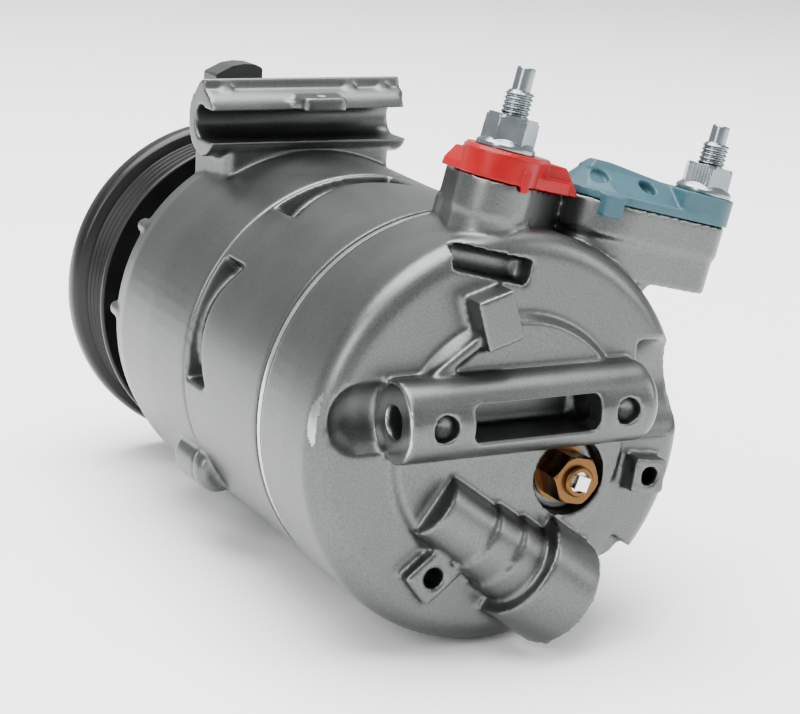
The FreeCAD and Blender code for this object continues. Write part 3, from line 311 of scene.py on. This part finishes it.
# ---- Pipe ports: studs, nuts and shipping caps ----------------------------------
# Zinc-plated M8 studs with dog points stand in the two flanged towers.  Each
# holds a moulded shipping cap down with a flanged hexagon nut: red on the
# discharge port, blue-green on the suction port.
TILT = math.radians(13.5)
# Where each stud leaves the face that its nut sits on.
TOPS = {"discharge": Vector((-30.4, -19.0, 68.0)) * MM,
        "suction": Vector((-102.8, -27.0, 51.8)) * MM}
# M8 coarse thread and its dog point, in millimetres.
SHANK_R, PITCH, THREAD_TIP_R, THREAD_ROOT_R, DOG_R = 4.0, 1.25, 3.98, 3.38, 2.62
SHANK_TOP = 2.0                         # the plain shank ends inside the nut
CORE_START = -2.0                       # the thread's core starts inside the shank
TIP_HALF = 0.07                         # half of the narrow flat on the thread's crest
ROOT_HALF = 0.46 * PITCH                # half of the thread's width at its root
BURIED = 0.25                           # the ridge starts this far inside the core
STEPS = 24                              # sections in one turn of the thread

# Bright zinc plating: a pale cool metal with sharp highlights.
ZINC = turned_metal("zinc_plating", "#868d90", 0.19, 0.25,
                    ((0.0, 0.0, 0.0), (0.0, TILT, 0.0)), relief_mm=0.012)


def rod_between(shape, low, high, radius, chamfer):
    """Closed round bar along Z with a chamfer at its top."""
    profile = [(0.0, low), (radius, low), (radius, high - chamfer),
               (radius - chamfer, high), (0.0, high)]
    points = [shape.verts.new((r * MM, 0.0, h * MM)) for r, h in profile]
    edges = [shape.edges.new(pair) for pair in zip(points, points[1:])]
    bmesh.ops.spin(shape, geom=points + edges, cent=(0, 0, 0), axis=(0, 0, 1),
                   angle=2.0 * math.pi, steps=32, use_merge=True)


def thread(shape, low, high):
    """Sharp screw thread wound round the bar as one closed ridge."""
    corners = [(THREAD_ROOT_R - BURIED, -ROOT_HALF), (THREAD_ROOT_R, -ROOT_HALF),
               (THREAD_TIP_R, -TIP_HALF), (THREAD_TIP_R, TIP_HALF),
               (THREAD_ROOT_R, ROOT_HALF), (THREAD_ROOT_R - BURIED, ROOT_HALF)]
    points = [shape.verts.new((r * MM, 0.0, (low + h) * MM)) for r, h in corners]
    edges = [shape.edges.new(pair) for pair in zip(points, points[1:] + points[:1])]
    shape.faces.new(points)
    steps = round((high - low) / PITCH * STEPS)
    made = bmesh.ops.spin(shape, geom=edges, cent=(0, 0, 0), axis=(0, 0, 1),
                          dvec=(0, 0, PITCH / STEPS * MM),
                          angle=2.0 * math.pi * steps / STEPS, steps=steps)
    last = [item for item in made["geom_last"] if isinstance(item, bmesh.types.BMEdge)]
    bmesh.ops.contextual_create(shape, geom=last)


def stud(port, below, thread_end, tip):
    """Stud with a rolled thread above the nut and a plain dog point."""
    shape = bmesh.new()
    rod_between(shape, -below, SHANK_TOP, SHANK_R, 0.2)
    rod_between(shape, CORE_START, thread_end, THREAD_ROOT_R, 0.3)
    rod_between(shape, thread_end - 1.0, tip, DOG_R, 0.45)
    thread(shape, SHANK_TOP - 0.5, thread_end - 0.5)
    bmesh.ops.remove_doubles(shape, verts=shape.verts, dist=0.1 * SAME_POINT)
    bmesh.ops.recalc_face_normals(shape, faces=shape.faces)
    turn = Matrix.Translation(TOPS[port]) @ Matrix.Rotation(-TILT, 4, "Y")
    bmesh.ops.transform(shape, matrix=turn, verts=shape.verts)
    mesh = bpy.data.meshes.new(port + "_stud_skin")
    shape.to_mesh(mesh)
    shape.free()
    piece = bpy.data.objects.new(port + "_stud_skin", mesh)
    bpy.context.scene.collection.objects.link(piece)
    softened(piece, voxel_mm=0.14, passes=1)
    mesh = thinned(piece, 0.5)
    mesh.polygons.foreach_set("use_smooth", [True] * len(mesh.polygons))
    mesh.materials.clear()
    mesh.materials.append(ZINC)
    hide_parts(port + "_stud")
    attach(piece, "casing")


stud("discharge", below=23.0, thread_end=16.3, tip=22.9)
stud("suction", below=19.0, thread_end=15.0, tip=20.4)
for node_name in ("discharge_nut", "suction_nut", "through_bolts", "hub_nut"):
    dress(node_name, ZINC, 0.3)

# Low-density polyethylene coloured through: a saturated red with a low, broad sheen.
RED = matt("red_moulded_plastic", "#8c0007", 0.36, 0.8, 0.02,
           Specular_IOR_Level=0.2)
# The same plastic in a greyed blue-green, a little duller.
TEAL = matt("blue_green_moulded_plastic", "#2e505a", 0.48, 0.8, 0.03,
            Specular_IOR_Level=0.3)


def moulded(node_name, material, body, voxel_mm):
    """Moulded plastic piece with evenly rounded edges."""
    piece = cast_piece(node_name, voxel_mm, passes=4)
    piece.data.materials.append(material)
    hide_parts(node_name)
    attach(piece, body)


moulded("discharge_cap", RED, "discharge_cap_body", 0.35)
moulded("suction_cap", TEAL, "suction_cap_body", 0.38)


# ---- Relief valve and control valve -----------------------------------------------
# The relief valve is a turned brass hexagon screwed into the rear face, with a
# square plated core.  The control valve slides into its cast barrel from below
# and is kept there by a snap ring.
RELIEF_SIDE, RELIEF_DROP = 18.5 * MM, 10.3 * MM     # beside and below the shaft axis
RELIEF_AXIS = ((SHAFT.x - RELIEF_SIDE, 0.0, SHAFT.z - RELIEF_DROP), UPRIGHT)
# Free-cutting brass, dulled by handling: brown-gold with fine lathe marks.
BRASS = turned_metal("turned_brass", "#66492a", 0.30, 0.35, RELIEF_AXIS)
dress("relief_valve_body", BRASS, 0.35)
# Nickel-plated steel: small, square and almost white.
CORE = turned_metal("plated_steel_core", "#d6d8d8", 0.24, 0.35, RELIEF_AXIS)
dress("relief_valve_core", CORE, 0.25)
# Turned aluminium alloy: soft grey shine with rings from the lathe.
VALVE_ALU = turned_metal("turned_aluminium", "#8d8f8f", 0.28, 0.5, AXIS)
dress("control_valve", VALVE_ALU, 0.3)


# ---- Clutch coil and its connector --------------------------------------------------
# The copper winding is potted in resin inside a zinc-plated steel cup, pressed on
# the front housing's shoulder.  A black glass-filled nylon plug housing stands on it.
# Glass-filled nylon: black, slightly rough where the fibres lie at the surface.
NYLON = matt("glass_filled_black_nylon", "#1b1c1d", 0.42, 0.5, 0.03)
# Enamelled copper seen through clear potting resin: dark red-brown and glossy.
RESIN = matt("copper_winding_in_resin", "#5a3320", 0.25, 1.2, 0.05)
dress("coil_connector", NYLON, 0.4)
dress("coil_shell", ZINC, 0.3)
dress("coil_winding", RESIN)


# ---- Pulley, bearing and clutch -----------------------------------------------------
# The ribbed steel pulley is painted black by dipping; its double-row ball bearing
# sits on the housing's nose.  Hub and armature are pressed steel on the shaft's end.
# Dipped black paint: deep black with a thin smooth top layer.
PAINT = matt("black_dip_paint", "#060607", 0.34, 1.5, 0.02, Specular_IOR_Level=0.3,
             Coat_Weight=0.1, Coat_Roughness=0.15)
# Ground bearing steel: even mid grey with a clear shine.
STEEL = turned_metal("ground_steel", "#8f9193", 0.24, 0.4, AXIS)
# Friction face worn by the clutch: the same steel, duller and scored in rings.
FRICTION = turned_metal("worn_friction_steel", "#8d8f90", 0.35, 0.5, AXIS)
dress("pulley", PAINT, 0.35)
dress("clutch_hub", PAINT, 0.4)
dress("armature_plate", FRICTION, 0.3)
dress("clutch_leaf_springs", BLUED, 0.15)
for node_name in ("armature_rivets", "hub_rivets", "pulley_bearing_inner_race",
                  "pulley_bearing_outer_race", "pulley_bearing_balls"):
    dress(node_name, STEEL)


# ---- Shaft, swash plate and pistons --------------------------------------------------
# Ground steel throughout; the pistons are turned from aluminium and the shoes are
# halves of hardened balls.
for node_name in ("drive_shaft", "lug_plate", "swash_plate", "guide_pins"):
    dress(node_name, STEEL, 0.3)
for node_name in ("front_thrust_bearing", "front_needle_cup", "rear_needle_cup",
                  "bearing_needles"):
    dress(node_name, STEEL)
for number in range(1, 7):
    dress("piston_%d" % number, VALVE_ALU, 0.3)
    dress("shoes_%d" % number, STEEL)


# ---- Floor, light and camera ---------------------------------------------------------
# A plain white paper sweep under a bright sky, one large lamp overhead and two
# narrow ones at the sides that draw long highlights on the round casings.
FLOOR_HALF = 4.0
FLOOR_GAP = 0.5 * MM                    # the floor lies this far below the lowest piece

low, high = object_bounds()
floor_mesh = bpy.data.meshes.new("floor")
shape = bmesh.new()
bmesh.ops.create_grid(shape, x_segments=1, y_segments=1, size=FLOOR_HALF)
bmesh.ops.translate(shape, verts=shape.verts, vec=(0.0, 0.0, low[2] - FLOOR_GAP))
shape.to_mesh(floor_mesh)
shape.free()
floor = bpy.data.objects.new("floor", floor_mesh)
bpy.context.scene.collection.objects.link(floor)
paper, tree, shader = new_material("white_paper_sweep", Roughness=0.9)
shader.inputs["Base Color"].default_value = linear("#fcfcfc")
floor_mesh.materials.append(paper)

world = bpy.data.worlds.new("studio")
bpy.context.scene.world = world
world.use_nodes = True
sky = world.node_tree.nodes["Background"]
sky.inputs["Color"].default_value = linear("#f2f4f6")
sky.inputs["Strength"].default_value = 1.0


def softbox(name, place, aim, size, watts):
    """One large diffused studio lamp."""
    lamp = bpy.data.lights.new(name, "AREA")
    lamp.shape = "RECTANGLE"
    lamp.size, lamp.size_y = size
    lamp.energy = watts
    holder = bpy.data.objects.new(name, lamp)
    bpy.context.scene.collection.objects.link(holder)
    holder.location = place
    toward = Vector(aim) - Vector(place)
    holder.rotation_euler = toward.to_track_quat("-Z", "Y").to_euler()


middle = Vector((-0.03, -0.08, 0.0))
softbox("top_softbox", (0.1, -0.3, 1.9), middle, (2.2, 1.8), 150.0)
softbox("key_softbox", (1.3, 0.5, 0.8), middle, (0.5, 0.9), 16.0)
softbox("far_softbox", (-1.2, 0.6, 0.6), middle, (0.4, 0.9), 9.0)

# The camera's own axes and its place in the frame of the object.
right = Vector((-0.89125, 0.45096, 0.04818))
down = Vector((0.07442, 0.25022, -0.96532))
ahead = Vector((-0.44737, -0.85676, -0.25657))
standpoint = Vector((0.23981, 0.44311, 0.15047))
lens = bpy.data.cameras.new("camera")
lens.sensor_width = 36.0
lens.lens = 89.32
lens.clip_start = 0.01
camera = bpy.data.objects.new("camera", lens)
bpy.context.scene.collection.objects.link(camera)
turn = Matrix((right, -down, -ahead)).transposed().to_4x4()
camera.matrix_world = Matrix.Translation(standpoint) @ turn
bpy.context.scene.camera = camera
